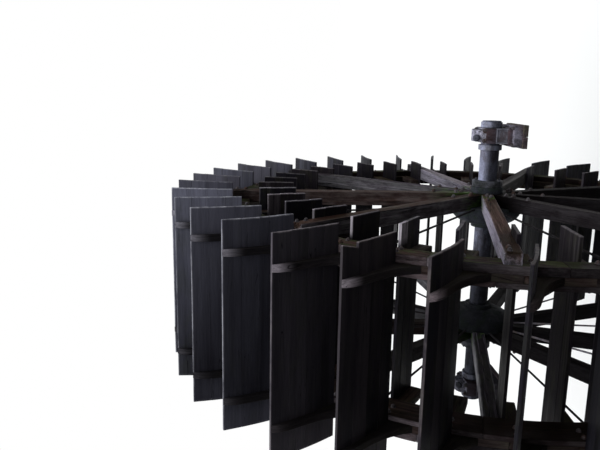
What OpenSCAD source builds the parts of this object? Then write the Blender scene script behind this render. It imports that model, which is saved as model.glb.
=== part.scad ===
// Undershot water wheel on a steel shaft, carried by two pillow bearings.
// X runs along the shaft, Z is up, millimetres. The origin is the middle of the
// foot of the right bearing, and the wheel hangs in its race below that foot.

/* [Paddles] */
// Radius at the paddle tips
wheel_r = 4000; // [3800:10:4300]
// Depth of the paddles outside the ring
paddle_depth = 720; // [640:5:800]
// Width of the paddles along the shaft
paddle_w = 2106; // [2000:2:2400]
// Thickness of every paddle board
board_t = 28; // [20:1:36]
// How far the paddle's root stands ahead of its tip
paddle_rake = 138; // [110:1:150]
// Bulge of the paddle ahead of the straight line from root to tip
paddle_camber = 19; // [8:1:24]
// Planks in the depth of one paddle
paddle_planks = 4; // [3:1:5]
// Depth of the inner boards inside the ring
inner_depth = 450; // [380:5:520]
// Distance of the inner board ahead of the line through its paddle's tip
inner_lead = 45; // [30:1:60]
// Angle of the first paddle's tip from straight up, towards the front
first_angle = 6.06; // [0:0.01:9.99]

/* [Rings] */
// Radial depth of a ring
ring_depth = 330; // [280:5:360]
// Thickness of the ply of a ring that faces the other ring
inner_ply_t = 50; // [35:1:60]
// Thickness of the ply of a ring that carries the arms
outer_ply_t = 80; // [70:1:90]
// Distance from the middle of the wheel to the ply that faces the other ring
ring_x = 656.5; // [600:0.5:700]
// Gap between the ends of two ring segments
segment_gap = 3; // [1:0.5:5]

/* [Starts] */
// Thickness of a start along the shaft
start_t = 70; // [50:1:80]
// Width of a start where it passes between the plies of the ring
start_w = 140; // [120:1:160]
// Depth of the knee of a start on the rim of the ring
knee_w = 235; // [180:1:240]
// Depth of the start behind its rounded nose
nose_w = 58; // [40:1:70]
// Length of the rounded nose
nose_l = 170; // [120:5:220]
// Height of the nose over the paddle's tip
nose_rise = 6; // [0:1:12]

/* [Arms] */
// Width of an arm in the plane of the wheel
arm_w = 150; // [130:1:160]
// Thickness of an arm along the shaft
arm_t = 150; // [120:1:160]
// Extra thickness of an arm on its inner side between the hub and the ring
arm_lap = 25; // [10:1:30]
// Depth that an arm is let into the outer ply of the ring
arm_let_in = 43; // [20:1:45]
// Gap between the end of an arm and the rim of the ring
arm_setback = 10; // [6:1:30]
// Diameter of the tie rods
rod_d = 24; // [16:1:26]
// Height of the nut of a tie rod
rod_nut_h = 22; // [14:1:26]
// Length of a tie rod inside the disc of the hub
rod_sink = 30; // [20:1:50]

/* [Hubs] */
// Outer radius of the inner disc, cast on the hub, that the arms bear on
disc_r = 440; // [400:5:480]
// Thickness of the inner disc
disc_t = 50; // [40:1:60]
// Outer radius of the loose disc that clamps the arms
clamp_r = 200; // [185:1:230]
// Thickness of the loose disc
clamp_t = 60; // [40:1:70]
// Outer radius of the hub sleeve between the discs
sleeve_r = 150; // [140:1:160]
// Outer radius of the hub boss behind the inner disc
boss_r = 172; // [160:1:200]
// Length of the hub boss behind the inner disc
boss_l = 240; // [210:1:260]
// Length of the bell that widens the boss to the inner disc
bell_l = 190; // [150:1:200]
// Outer radius of the lock ring
lock_r = 190; // [170:1:200]
// Length of the lock ring
lock_l = 60; // [50:1:90]

/* [Shaft] */
// Diameter of the shaft
shaft_d = 234; // [220:1:240]
// Distance between the two bearings
bearing_span = 3400; // [3380:10:3800]
// Height of the shaft's axis over the foot of the bearings
axis_h = 360; // [340:1:400]
// Length of the shaft past the middle of a bearing
shaft_end = 182; // [175:1:300]
// Outer radius of the collar inside each bearing
inner_collar_r = 145; // [135:1:160]
// Length of the collar inside each bearing
inner_collar_l = 65; // [40:1:80]
// Running gap between the inside collar and the bearing
inner_collar_gap = 24; // [5:1:30]
// Outer radius of the collar outside each bearing
outer_collar_r = 132; // [128:1:150]
// Length of the collar outside each bearing
outer_collar_l = 66; // [50:1:70]
// Running gap between the outside collar and the bearing
outer_collar_gap = 5; // [5:0.5:8]

/* [Bearings] */
// Length of the bearing block along the shaft
block_l = 190; // [180:1:200]
// Width of the bearing block across the shaft
block_w = 400; // [380:2:440]
// Height of the cap's flange over the axis
flange_h = 130; // [100:1:135]
// Length of the cap's round top along the shaft
cap_l = 148; // [130:1:170]
// Radius of the cap's round top
cap_r = 150; // [145:1:165]
// Height of the cap's top over the axis
cap_h = 244; // [235:1:270]
// Depth of the recessed panels in the front and back of the block
panel_d = 14; // [6:1:24]
// Width of the rib on each side of a panel
panel_rib = 20; // [12:1:30]
// Length of the block's foot along the shaft
foot_l = 214; // [204:2:224]
// Height of the block's foot
foot_h = 46; // [30:1:60]
// Thickness of the sole plate
sole_t = 100; // [80:1:110]
// Length of the sole plate along the shaft
sole_l = 262; // [254:2:290]
// Width of the sole plate across the shaft
sole_w = 560; // [520:2:640]
// Height of the bed block under the sole plate
bed_h = 60; // [40:1:80]
// Length of the bed block along the shaft
bed_l = 290; // [290:2:340]
// Width of the bed block across the shaft
bed_w = 620; // [600:2:700]
// Diameter of the anchor bolt holes
anchor_d = 28; // [20:1:34]
// Distance between the anchor bolts along the shaft
anchor_x = 210; // [190:2:220]
// Distance between the anchor bolts across the shaft
anchor_y = 490; // [480:2:500]

/* [Fits] */
// Gap where one fixed piece is seated on or in another
seat = 0.3; // [0.2:0.1:0.5]
// Radial clearance of the shaft in its bearings
run_fit = 0.15; // [0.1:0.01:0.2]
// Radial clearance of the hubs and collars on the shaft
grip_fit = 0.05; // [0.02:0.01:0.1]

/* [Hidden] */
$fn = 96;

// Wheel
bays = 9;
paddles_per_bay = 4;
bay_angle = 360 / bays;
paddle_step = bay_angle / paddles_per_bay;
shaft_r = shaft_d / 2;
mid_x = -bearing_span / 2;

// Radii of the ring and of the inner boards
ring_r = wheel_r - paddle_depth;
ring_in_r = ring_r - ring_depth;
inner_r = ring_in_r - inner_depth;

// Paddle section, with t measured ahead of the tip's radial line
root_t = paddle_rake;
root_z = sqrt(pow(ring_r, 2) - pow(root_t - board_t, 2)) + seat;
plank_steps = [for (k = [0 : paddle_planks]) k / paddle_planks];
function paddle_t(f) = root_t * (1 - f) + 4 * paddle_camber * f * (1 - f);
function paddle_z(f) = root_z + (wheel_r - root_z) * f;

// Start
start_in = inner_lead + board_t / 2;
start_out = start_in + start_w;
start_mid_angle = atan((start_in + start_out) / 2 / (ring_r - ring_depth / 2));
knee_z = ring_r - 30;
nose_z = wheel_r + nose_rise - nose_l;
// Depth of the start ahead of the paddle's face, thick at the knee
function start_w_at(z) = nose_w + (knee_w - nose_w) * pow((nose_z - z) / (nose_z - knee_z), 3);
function face_t(z) = paddle_t((z - root_z) / (wheel_r - root_z)) + board_t / 2;
knee_steps = [for (k = [0 : 8]) knee_z + (nose_z - knee_z) * k / 8];
nose_steps = [for (a = [15 : 15 : 75]) a];

// Along the shaft, from the middle of the wheel: inner ply, starts and blocks seated between
// the plies, outer ply, and the arms, which are let into the outer ply
core_x = ring_x + inner_ply_t + seat;
outer_ply_x = core_x + start_t + seat;
arm_x = outer_ply_x + outer_ply_t - arm_let_in;
arm_out_x = arm_x + arm_t;
clamp_out_x = arm_out_x + clamp_t;
rod_x = arm_x - 20;

// Arms lie against the front face of every fourth inner board, but those numbered here
// were refitted behind their boards
rear_arms = [2, 7];
arm_lead = asin((start_in + seat + arm_w / 2) / inner_r);
rear_arm_lead = asin((start_in - board_t - seat - arm_w / 2) / inner_r);
arm_end = ring_r - arm_setback;
lap_in_r = disc_r + 8;
lap_out_r = ring_in_r - 10;

// Steps of the hub's bell, finer near the boss
bell_steps = [for (a = [0 : 15 : 90]) 1 - cos(a)];

// Bearing heights
sole_top = bed_h + sole_t;

// Turns a piece from straight up to the angle a towards the front
module at_angle(a) { rotate([a, 0, 0]) children(); }

// Puts a piece into the frame of the wheel: the middle of the wheel on the axis
module wheel_place() { translate([mid_x, 0, axis_h]) children(); }

// Both sides: side 1 is right, side -1 is the mirror image
module side_of(side) {
    if (side > 0) children();
    else mirror([1, 0, 0]) children();
}

// A section drawn as points [t, z], carried along the shaft from x0 over length l
module board_solid(points, x0, l) {
    translate([x0, 0, 0]) rotate([90, 0, 90]) linear_extrude(l)
        polygon([for (p = points) [-p[0], p[1]]]);
}

// A ring about the shaft from x0 over length l
module shaft_ring(x0, l, r_out, r_in) {
    translate([x0, 0, 0]) rotate([0, 90, 0]) difference() {
        cylinder(h = l, r = r_out);
        translate([0, 0, -1]) cylinder(h = l + 2, r = r_in);
    }
}

module shaft() {
    color("slategray") translate([-bearing_span - shaft_end, 0, axis_h]) rotate([0, 90, 0])
        cylinder(h = bearing_span + 2 * shaft_end, r = shaft_r);
}

module shaft_collars() {
    inner_reach = block_l / 2 + inner_collar_gap + inner_collar_l;
    outer_reach = block_l / 2 + outer_collar_gap;
    color("dimgray") translate([mid_x, 0, axis_h]) for (side = [-1, 1]) side_of(side)
        translate([bearing_span / 2, 0, 0]) {
            shaft_ring(-inner_reach, inner_collar_l, inner_collar_r, shaft_r + grip_fit);
            shaft_ring(outer_reach, outer_collar_l, outer_collar_r, shaft_r + grip_fit);
        }
}

// Cast hub: boss, bell on a quarter ellipse, inner disc and the sleeve that carries the clamp
// and the lock ring
module hub(side) {
    disc_face = arm_x - seat;
    back = disc_face - disc_t;
    bore_r = shaft_r + grip_fit;
    bell = [for (f = bell_steps)
        [boss_r + (disc_r - boss_r) * sqrt(1 - pow(1 - f, 2)), back - bell_l * (1 - f)]];
    color("darkslategray") wheel_place() side_of(side) difference() {
        rotate([0, 90, 0]) rotate_extrude() polygon(concat(
            [[bore_r, back - boss_l], [boss_r, back - boss_l]], bell,
            [[disc_r, disc_face], [sleeve_r, disc_face],
            [sleeve_r, clamp_out_x + lock_l], [bore_r, clamp_out_x + lock_l]]));
        for (k = [0 : bays - 1]) at_angle(rod_angle(k)) translate([rod_x, 0, disc_r - rod_sink])
            cylinder(h = rod_sink + 10, d = rod_d + 2 * seat, $fn = 24);
    }
}

module hub_clamp(side) {
    color("dimgray") wheel_place() side_of(side)
        shaft_ring(arm_out_x, clamp_t, clamp_r, sleeve_r + grip_fit);
}

module lock_ring(side) {
    color("gray") wheel_place() side_of(side)
        shaft_ring(clamp_out_x, lock_l, lock_r, sleeve_r + grip_fit);
}

function paddle_angle(i) = first_angle + i * paddle_step;
function is_rear(k) = len([for (r = rear_arms) if ((r - k) % bays == 0) r]) > 0;
function arm_angle(k) = paddle_angle(k * paddles_per_bay - 1)
    + (is_rear(k) ? rear_arm_lead : arm_lead);
// Middle of the gap between start i and the next one
function gap_angle(i) = paddle_angle(i) + start_mid_angle + paddle_step / 2;
function rod_angle(k) = gap_angle(k * paddles_per_bay);

// One arm, its inner end a wedge between its two neighbours, lapped where it bears on the
// disc and on the ring
module arm(k) {
    half = arm_w / 2;
    foot = sleeve_r + 2;
    ahead = tan((arm_angle(k + 1) - arm_angle(k)) / 2);
    behind = tan((arm_angle(k) - arm_angle(k - 1)) / 2);
    union() {
        board_solid([[foot * ahead - 1, foot], [half, (half + 1) / ahead], [half, arm_end],
            [-half, arm_end], [-half, (half + 1) / behind], [1 - foot * behind, foot]],
            arm_x, arm_t);
        board_solid([[half, lap_in_r], [half, lap_out_r], [-half, lap_out_r], [-half, lap_in_r]],
            arm_x - arm_lap, arm_t);
    }
}

module arms(side) {
    color("saddlebrown") wheel_place() side_of(side)
        for (k = [0 : bays - 1]) at_angle(arm_angle(k)) arm(k);
}

// Radial slot across the depth of a ring, from x0 over length l, between t0 and t1
module ring_slot(x0, l, t0, t1) {
    board_solid([[t0, ring_in_r - 50], [t1, ring_in_r - 50], [t1, ring_r + 50], [t0, ring_r + 50]],
        x0, l);
}

// Open butt joints of one ply, one for every two starts, beginning in the gap first_gap
module butt_joints(x0, l, first_gap) {
    for (k = [0 : 2 : bays * paddles_per_bay - 1]) at_angle(gap_angle(first_gap + k))
        ring_slot(x0 - 1, l + 2, -segment_gap / 2, segment_gap / 2);
}

module ring_inner_ply(side) {
    color("sienna") wheel_place() side_of(side) difference() {
        shaft_ring(ring_x, inner_ply_t, ring_r, ring_in_r);
        butt_joints(ring_x, inner_ply_t, 0);
    }
}

// The outer ply is notched for the arms and bored for the tie rods
module ring_outer_ply(side) {
    color("sienna") wheel_place() side_of(side) difference() {
        shaft_ring(outer_ply_x, outer_ply_t, ring_r, ring_in_r);
        butt_joints(outer_ply_x, outer_ply_t, 1);
        for (k = [0 : bays - 1]) at_angle(arm_angle(k))
            ring_slot(arm_x - seat, arm_t, -arm_w / 2 - seat, arm_w / 2 + seat);
        for (k = [0 : bays - 1]) at_angle(rod_angle(k)) translate([rod_x, 0, ring_in_r - 50])
            cylinder(h = ring_depth + 100, d = rod_d + 2 * seat, $fn = 24);
    }
}

// Blocks that fill the ring between the starts
module ring_blocks(side) {
    color("sienna") wheel_place() side_of(side) difference() {
        shaft_ring(core_x, start_t, ring_r, ring_in_r);
        for (i = [0 : bays * paddles_per_bay - 1]) at_angle(paddle_angle(i))
            ring_slot(core_x - 1, start_t + 2, start_in - seat, start_out + seat);
    }
}

// Tie rods from the inner disc through the ring, each with a nut on the rim
module tie_rods(side) {
    rod_foot = disc_r - rod_sink + seat;
    nut_z = ring_r + seat;
    color("darkgray") wheel_place() side_of(side)
        for (k = [0 : bays - 1]) at_angle(rod_angle(k)) translate([rod_x, 0, 0]) {
            translate([0, 0, rod_foot])
                cylinder(h = nut_z + rod_nut_h + 8 - rod_foot, d = rod_d, $fn = 24);
            translate([0, 0, nut_z]) cylinder(h = rod_nut_h, d = 2 * rod_d, $fn = 6);
        }
}

// Start: a stem through the ring that carries the inner board, and a curved knee outside
// the rim that backs the paddle up to its tip
module start_piece() {
    stem = [[start_in, inner_r], [start_out, inner_r], [start_out, ring_r + 30],
        [face_t(root_z), ring_r + 30], [face_t(root_z), root_z - 1], [start_in, root_z - 6]];
    face = [for (f = plank_steps) [paddle_t(f) + board_t / 2, paddle_z(f)]];
    back = [for (z = knee_steps) [face_t(z) + start_w_at(z), z]];
    nose = [for (a = nose_steps) let (z = nose_z + nose_l * sin(a))
        [face_t(z) + nose_w * cos(a), z]];
    top = [face_t(wheel_r), wheel_r + nose_rise];
    knee = concat([[face_t(root_z), knee_z]], back, nose, [top],
        [for (k = [len(face) - 1 : -1 : 0]) face[k]]);
    union() {
        board_solid(stem, core_x, start_t);
        difference() {
            board_solid(knee, core_x, start_t);
            translate([core_x - 1, 0, 0]) rotate([0, 90, 0])
                cylinder(h = start_t + 2, r = ring_r + seat);
        }
    }
}

module starts(side) {
    color("peru") wheel_place() side_of(side)
        for (i = [0 : bays * paddles_per_bay - 1]) at_angle(paddle_angle(i)) start_piece();
}

// Paddle of flat planks set edge to edge on a slight curve
module paddle() {
    front = [for (f = plank_steps) [paddle_t(f) + board_t / 2, paddle_z(f)]];
    rear = [for (k = [len(plank_steps) - 1 : -1 : 0])
        [paddle_t(plank_steps[k]) - board_t / 2, paddle_z(plank_steps[k])]];
    board_solid(concat(front, rear), -paddle_w / 2, paddle_w);
}

module paddles(sector) {
    color("darkolivegreen") wheel_place() for (i = [0 : paddles_per_bay - 1])
        at_angle(paddle_angle((sector - 1) * paddles_per_bay + i)) paddle();
}

module inner_board() {
    top = sqrt(pow(ring_in_r - seat, 2) - pow(start_in, 2));
    board_solid([[start_in - board_t, inner_r], [start_in, inner_r], [start_in, top],
        [start_in - board_t, top]], -paddle_w / 2, paddle_w);
}

module inner_boards(sector) {
    color("olive") wheel_place() for (i = [0 : paddles_per_bay - 1])
        at_angle(paddle_angle((sector - 1) * paddles_per_bay + i)) inner_board();
}

// Holes for the four anchor bolts, from z0 over height h
module anchor_holes(z0, h) {
    for (sx = [-1, 1], sy = [-1, 1])
        translate([sx * anchor_x / 2, sy * anchor_y / 2, z0 - 1]) cylinder(h = h + 2, d = anchor_d);
}

module slab(l, w, z0, h) {
    translate([-l / 2, -w / 2, z0]) cube([l, w, h]);
}

// Bearing pieces are drawn at the right bearing, and the left one is the mirror image
module bearing_place(side) {
    if (side > 0) children();
    else translate([-bearing_span, 0, 0]) mirror([1, 0, 0]) children();
}

module bearing_bed(side) {
    color("rosybrown") bearing_place(side) difference() {
        slab(bed_l, bed_w, 0, bed_h);
        anchor_holes(0, bed_h);
    }
}

module sole_plate(side) {
    color("dimgray") bearing_place(side) difference() {
        slab(sole_l, sole_w, bed_h, sole_t);
        anchor_holes(bed_h, sole_t);
    }
}

module shaft_bore() {
    translate([-block_l, 0, axis_h]) rotate([0, 90, 0])
        cylinder(h = 2 * block_l, r = shaft_r + run_fit);
}

module bearing_block(side) {
    panel_l = block_l - 2 * panel_rib;
    panel_top = axis_h - panel_rib;
    panel_foot = sole_top + foot_h;
    color("gray") bearing_place(side) difference() {
        union() {
            slab(block_l, block_w, sole_top, axis_h - sole_top);
            slab(foot_l, block_w + foot_l - block_l, sole_top, foot_h);
        }
        for (sy = [-1, 1]) translate([0, sy * block_w / 2, 0])
            slab(panel_l, 2 * panel_d, panel_foot, panel_top - panel_foot);
        shaft_bore();
    }
}

module bearing_cap(side) {
    color("darkgray") bearing_place(side) difference() {
        union() {
            slab(block_l, block_w, axis_h, flange_h);
            slab(cap_l, 2 * cap_r, axis_h, cap_h - cap_r);
            translate([-cap_l / 2, 0, axis_h + cap_h - cap_r]) rotate([0, 90, 0])
                cylinder(h = cap_l, r = cap_r);
        }
        shaft_bore();
    }
}

shaft();
shaft_collars();
hub(1);  // hub_right
hub(-1);  // hub_left
hub_clamp(1);  // hub_clamp_right
hub_clamp(-1);  // hub_clamp_left
lock_ring(1);  // lock_ring_right
lock_ring(-1);  // lock_ring_left
arms(1);  // arms_right
arms(-1);  // arms_left
ring_outer_ply(1);  // ring_outer_ply_right
ring_inner_ply(1);  // ring_inner_ply_right
ring_blocks(1);  // ring_blocks_right
ring_outer_ply(-1);  // ring_outer_ply_left
ring_inner_ply(-1);  // ring_inner_ply_left
ring_blocks(-1);  // ring_blocks_left
tie_rods(1);  // tie_rods_right
tie_rods(-1);  // tie_rods_left
starts(1);  // starts_right
starts(-1);  // starts_left
paddles(1);  // paddles_1
paddles(2);  // paddles_2
paddles(3);  // paddles_3
paddles(4);  // paddles_4
paddles(5);  // paddles_5
paddles(6);  // paddles_6
paddles(7);  // paddles_7
paddles(8);  // paddles_8
paddles(9);  // paddles_9
inner_boards(1);  // inner_boards_1
inner_boards(2);  // inner_boards_2
inner_boards(3);  // inner_boards_3
inner_boards(4);  // inner_boards_4
inner_boards(5);  // inner_boards_5
inner_boards(6);  // inner_boards_6
inner_boards(7);  // inner_boards_7
inner_boards(8);  // inner_boards_8
inner_boards(9);  // inner_boards_9
bearing_bed(1);  // bearing_bed_right
sole_plate(1);  // sole_plate_right
bearing_block(1);  // bearing_block_right
bearing_cap(1);  // bearing_cap_right
bearing_bed(-1);  // bearing_bed_left
sole_plate(-1);  // sole_plate_left
bearing_block(-1);  // bearing_block_left
bearing_cap(-1);  // bearing_cap_left
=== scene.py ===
import math

import bmesh
import bpy
import numpy as np
from mathutils import Matrix


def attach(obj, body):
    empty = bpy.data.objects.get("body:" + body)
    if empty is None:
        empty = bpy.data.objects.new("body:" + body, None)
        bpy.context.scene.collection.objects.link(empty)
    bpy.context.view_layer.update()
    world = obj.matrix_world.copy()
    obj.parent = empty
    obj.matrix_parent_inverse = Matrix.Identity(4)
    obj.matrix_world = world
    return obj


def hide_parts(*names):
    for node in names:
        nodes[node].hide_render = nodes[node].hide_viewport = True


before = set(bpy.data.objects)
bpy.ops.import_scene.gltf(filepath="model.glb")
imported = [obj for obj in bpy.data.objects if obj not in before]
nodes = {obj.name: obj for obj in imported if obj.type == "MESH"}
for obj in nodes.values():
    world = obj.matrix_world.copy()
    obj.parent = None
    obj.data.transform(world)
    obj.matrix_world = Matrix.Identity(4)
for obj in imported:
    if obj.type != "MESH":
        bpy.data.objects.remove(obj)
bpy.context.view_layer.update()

print("stage: frame loaded,", len(nodes), "nodes")

# Metres and degrees. The wheel turns about X through (midX, 0, axisZ). In the wheel, s runs along the
# shaft from the middle plane, t is ahead of a radial line and z is the distance out along that line.
wheel = {
    "midX": -1.7, "axisZ": 0.36, "tipRadius": 4.0, "ringOuter": 3.28, "ringInner": 2.95,
    "boardInner": 2.5, "firstAngle": 6.06, "step": 10.0, "count": 36, "bays": 9,
    "rake": 0.138, "camber": 0.019, "board": 0.028, "width": 2.106, "innerLead": 0.045,
    "plyFace": 0.6565, "innerPly": 0.05, "core": 0.07, "outerPly": 0.08, "seat": 0.0003,
    "outerPlyDepth": 0.22, "startWidth": 0.14, "armWidth": 0.15, "armLetIn": 0.043, "rearArms": (2, 7)}
midX, axisZ, tipRadius, ringOuter, ringInner = (
    wheel[key] for key in ("midX", "axisZ", "tipRadius", "ringOuter", "ringInner"))
step, count, bays, board, core, seat, armWidth = (
    wheel[key] for key in ("step", "count", "bays", "board", "core", "seat", "armWidth"))
ringDepth, ringMiddle = ringOuter - ringInner, (ringOuter + ringInner) / 2
rootZ = math.sqrt(ringOuter ** 2 - (wheel["rake"] - board) ** 2)
startIn = wheel["innerLead"] + board / 2
startOut = startIn + wheel["startWidth"]
startMiddle = (startIn + startOut) / 2
innerPlyOut = wheel["plyFace"] + wheel["innerPly"]
coreX = innerPlyOut + seat
outerPlyX = coreX + core + seat
outerPlyOut = outerPlyX + wheel["outerPly"]
armX = outerPlyOut - wheel["armLetIn"]
armOutX = armX + armWidth
paddleAngles = wheel["firstAngle"] + step * np.arange(count)
gapAngles = paddleAngles + math.degrees(math.atan(startMiddle / ringMiddle)) + step / 2
rodAngles = gapAngles[::4]
isRear = np.isin(np.arange(bays), wheel["rearArms"])
armLead = np.where(isRear, startIn - board - armWidth / 2, startIn + armWidth / 2) / wheel["boardInner"]
armAngles = wheel["firstAngle"] + step * (4 * np.arange(bays) - 1) + np.degrees(np.arcsin(armLead))
shaft ={"radius": 0.117, "end": 0.182, "span": 3.4, "chamfer": 0.004, "around": 96, "cuts": 40,
         "centreHole": 0.012, "holeDeep": 0.02, "holeEnd": 0.002, "fit": 0.00005}
centres = {1: 0.0, -1: -shaft["span"]}


def eachSide(*makers):
    for make in makers:
        for side, name in ((1, "right"), (-1, "left")):
            make(side, name)


def inWheel(s, t, z, angle):
    # Turns the wheel's own (s, t, z) about the shaft by angle, from straight up towards the front
    s, t, z, a = np.broadcast_arrays(s, t, z, np.radians(angle))
    return np.stack([midX + s, -t * np.cos(a) - z * np.sin(a), axisZ - t * np.sin(a) + z * np.cos(a)], -1)


def paddleT(z):
    # Straight line from root to tip plus a parabola of height camber
    f = (z - rootZ) / (tipRadius - rootZ)
    return wheel["rake"] * (1 - f) + 4 * wheel["camber"] * f * (1 - f)


def roundedSection(bevel, lip, cuts=1, sideCuts=0):
    # One turn round a rectangle with cut corners. Each row holds the side it is on and its distance in
    # from that side, for the width and for the depth, and 1 where it is on an edge
    inner = [(q, 0.0, 0.0) for q in np.linspace(-1, 1, cuts + 2)[1:-1]]
    face = [(-1, bevel, 1.0), (-1, bevel + lip, 0.0)] + inner + [(1, bevel + lip, 0.0), (1, bevel, 1.0)]
    side = [(q, 0.0, 1.0) for q in np.linspace(1, -1, sideCuts + 2)[1:-1]]
    edge = [(1, bevel, 1.0)] + side + [(-1, bevel, 1.0)]
    rows = []
    for turn in (1, -1):
        rows += [(turn * q, i, turn, 0.0, w) for q, i, w in face] + [(turn, 0.0, turn * q, i, w) for q, i, w in edge]
    return np.array(rows)


def fromSection(section, width, depth, inset, bevel=1.0):
    # Where the section's points lie across the width and through the depth. inset draws them in further, but
    # never past 0.45 of the size, so that thin ends don't turn inside out
    return [section[:, k] * size / 2
            - np.sign(section[:, k]) * np.minimum(section[:, k + 1] * bevel + inset, 0.45 * np.abs(size))
            for k, size in ((0, width), (2, depth))]


def endsOnly(length, first, last):
    # An inset for the first and the last station, and none between
    return np.concatenate([[first], np.zeros(length - 2), [last]])[:, None]


def perPaddle(first, rest=0.0):
    # One value for each paddle: those listed, and rest for the others
    return np.concatenate([first, np.full(count - len(first), rest)])[:, None, None]


def eachPiece(rng, low, high, pieces):
    return rng.uniform(low, high, (pieces, 1, 1))


def grainOf(rng, pieces, along, across, through, reach=40):
    # Each piece lies somewhere else in the wood, so that no two show the same grain
    return np.stack(np.broadcast_arrays(along, across, through), -1) + rng.uniform(-reach, reach, (pieces, 1, 1, 3))


def tubeGroup(rings, grain=None, finishAndLight=None):
    # rings[piece, station, point]: each piece is a tube of quads through its stations, closed by a flat
    # face at both ends. A piece whose faces point inwards has its points taken the other way round
    around1 = np.roll(rings, -1, 2)[:, :-1] - rings[:, :-1]
    along = rings[:, 1:] - rings[:, :-1]
    outward = rings[:, :-1] - rings[:, :-1].mean(2, keepdims=True)
    inside = (np.cross(around1, along) * outward).sum((1, 2, 3)) < 0
    for array in (rings, grain, finishAndLight):
        if array is not None:
            array[inside] = array[inside][:, :, ::-1]
    pieces, stations, around = rings.shape[:3]
    base = np.arange(pieces)[:, None, None] * stations * around
    row = np.arange(stations - 1)[None, :, None] * around
    a = base + row + np.arange(around)
    b = base + row + (np.arange(around) + 1) % around
    quads = np.stack([a, b, b + around, a + around], -1).reshape(-1, 4)
    first = base[:, :, 0] + np.arange(around)[::-1]
    last = base[:, :, 0] + (stations - 1) * around + np.arange(around)
    return rings.reshape(-1, 3), quads.tolist() + first.tolist() + last.tolist(), grain, finishAndLight


def closedGroup(grid):
    # grid[turn, loop]: a closed profile carried all the way round, as a torus is
    turns, loop = grid.shape[:2]
    i, j = np.meshgrid(np.arange(turns), np.arange(loop), indexing="ij")
    i1, j1 = (i + 1) % turns, (j + 1) % loop
    quads = np.stack([i * loop + j, i1 * loop + j, i1 * loop + j1, i * loop + j1], -1).reshape(-1, 4)
    points = grid.reshape(-1, 3)
    a, b, c, d = (points[quads[:, k]] for k in range(4))
    volume = (np.cross(b - a, c - a) * a).sum() + (np.cross(c - a, d - a) * a).sum()
    return points, (quads if volume > 0 else quads[:, ::-1]).tolist(), None, None


def buildPiece(name, groups, material, body, sharp=38):
    # One mesh from several groups of points and faces, with the grain and finish that woods read; the finish holds
    # painted light and shade as well as wear and colour
    faces, start = [], 0
    for group in groups:
        faces += [[start + k for k in face] for face in group[1]] if start else group[1]
        start += len(group[0])
    mesh = bpy.data.meshes.new(name)
    mesh.from_pydata(np.concatenate([group[0] for group in groups]), [], faces)
    for place, label, kind, field in ((2, "grain", "FLOAT_VECTOR", "vector"), (3, "finishAndLight", "FLOAT_COLOR", "color")):
        if groups[0][place] is not None:
            values = np.concatenate([group[place].reshape(-1, group[place].shape[-1]) for group in groups])
            attribute = mesh.attributes.new(label, kind, "POINT")
            attribute.data.foreach_set(field, values.astype(np.float32).ravel())
    return finishPiece(name, mesh, material, body, sharp)


def finishPiece(name, mesh, material, body, sharp):
    mesh.validate()
    mesh.shade_smooth()
    mesh.set_sharp_from_angle(angle=math.radians(sharp))
    mesh.materials.append(material)
    piece = bpy.data.objects.new(name, mesh)
    bpy.context.scene.collection.objects.link(piece)
    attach(piece, body)
    return piece


def finishAndLightValues(shape, tone, wear, moss, hue):
    # Red is the piece's tone from -0.4 to 1, stored as 0 to 1, green its wear, blue its moss, alpha its warmth; tone
    # and wear also carry painted light and shade
    values = ((tone + 0.4) / 1.4, wear, moss, hue)
    return np.stack([np.broadcast_to(value, shape) for value in values], -1).clip(0, 1)


def ripple(rng, pieces, u, size, waves=4, reach=6.0):
    # Smooth waviness for each piece: a sum of sines of u with random pace and phase
    pace = rng.uniform(0.4, reach, (pieces, waves))
    phase = rng.uniform(0, 2 * math.pi, (pieces, waves))
    weight = rng.uniform(0.3, 1, (pieces, waves)) / pace ** 0.5
    total = (weight[:, :, None] * np.sin(pace[:, :, None] * u[None, None, :] + phase[:, :, None])).sum(1)
    return size * total / waves ** 0.5


def roundCorners(corners, radius, steps=3):
    # Each corner becomes a parabola between points radius away on its two sides
    corners = np.array(corners, float)
    before, after = np.roll(corners, 1, 0) - corners, np.roll(corners, -1, 0) - corners
    start, end = (corners + np.minimum(radius / np.linalg.norm(side, axis=1), 0.4)[:, None] * side
                  for side in (before, after))
    v = np.linspace(0, 1, steps + 1)[None, :, None]
    return ((1 - v) ** 2 * start[:, None] + 2 * v * (1 - v) * corners[:, None] + v ** 2 * end[:, None]).reshape(-1, 2)


def aboutShaft(corners, radius, side, centre=midX, around=96):
    # A closed profile of (s, radius) corners, rounded and turned about the shaft
    s, r = roundCorners(corners, radius).T
    a = np.linspace(0, 2 * math.pi, around, endpoint=False)[:, None]
    x = np.broadcast_to(centre + side * s, (around, len(s)))
    return closedGroup(np.stack([x, -r * np.sin(a), axisZ + r * np.cos(a)], -1))


def turnedRings(base, axis, profile, sides, twist=0.0):
    # A profile of (distance along, radius) turned with few sides about each piece's own axis
    base, axis = np.broadcast_arrays(np.atleast_2d(np.array(base, float)), np.atleast_2d(np.array(axis, float)))
    helper = np.where(np.abs(axis[:, :1]) < 0.9, np.array([1.0, 0, 0]), np.array([0, 0, 1.0]))
    across = np.cross(axis, helper)
    across /= np.linalg.norm(across, axis=1, keepdims=True)
    other = np.cross(axis, across)
    profile = np.array(profile)
    a = np.arange(sides) * 2 * math.pi / sides + np.broadcast_to(twist, len(base))[:, None, None]
    ring = across[:, None, None] * np.cos(a)[..., None] + other[:, None, None] * np.sin(a)[..., None]
    return (base[:, None, None] + axis[:, None, None] * profile[None, :, :1, None]
            + ring * profile[None, :, 1:, None])


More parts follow.
